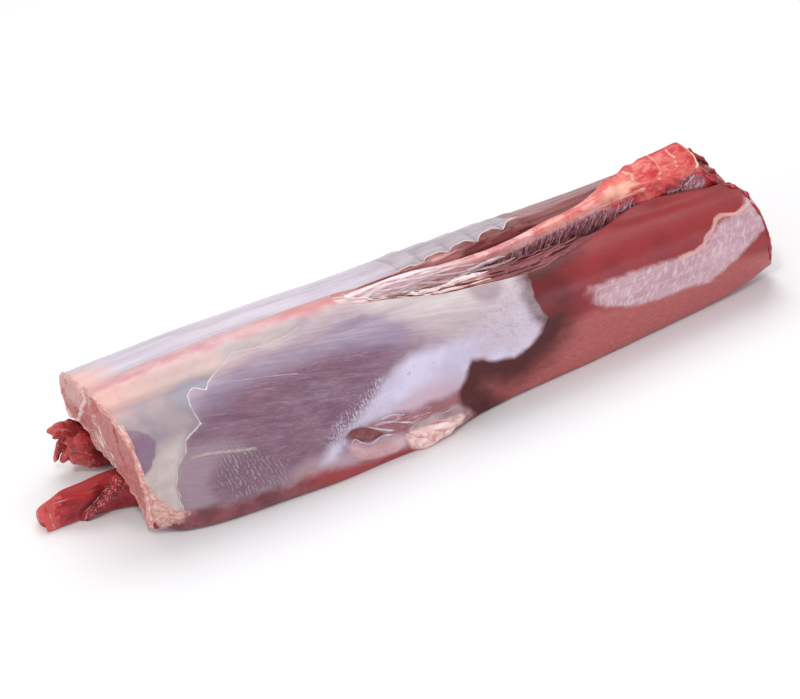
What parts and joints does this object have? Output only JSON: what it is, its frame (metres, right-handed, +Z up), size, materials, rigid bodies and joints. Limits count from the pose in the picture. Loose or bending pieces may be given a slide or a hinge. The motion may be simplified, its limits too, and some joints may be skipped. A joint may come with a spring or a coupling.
{
  "type": "bone-in roe deer saddle",
  "caption": "Raw bone-in saddle of roe deer: loins on the backbone under split silver skin, tenderloins left on underneath, lying flat on the feet of its flanks.",
  "frame": {"origin": "on the table, under the middle of the whole saddle", "axes": "+X along the backbone from the hip cut to the shoulder cut, +Z up, -Y the side that the picture shows"},
  "size_m": [0.4926, 0.1328, 0.0884],
  "materials": {
    "skinned_loin": "wet silver skin over dark red muscle",
    "spines_and_bone": "moist pink cartilage and ligament",
    "tenderloin_meat": "wet dark red muscle"
  },
  "bodies": {
    "root": {"loins": "skinned_loin", "backbone": "spines_and_bone", "tenderloin_near": "tenderloin_meat", "tenderloin_far": "tenderloin_meat"}
  },
  "joints": []
}
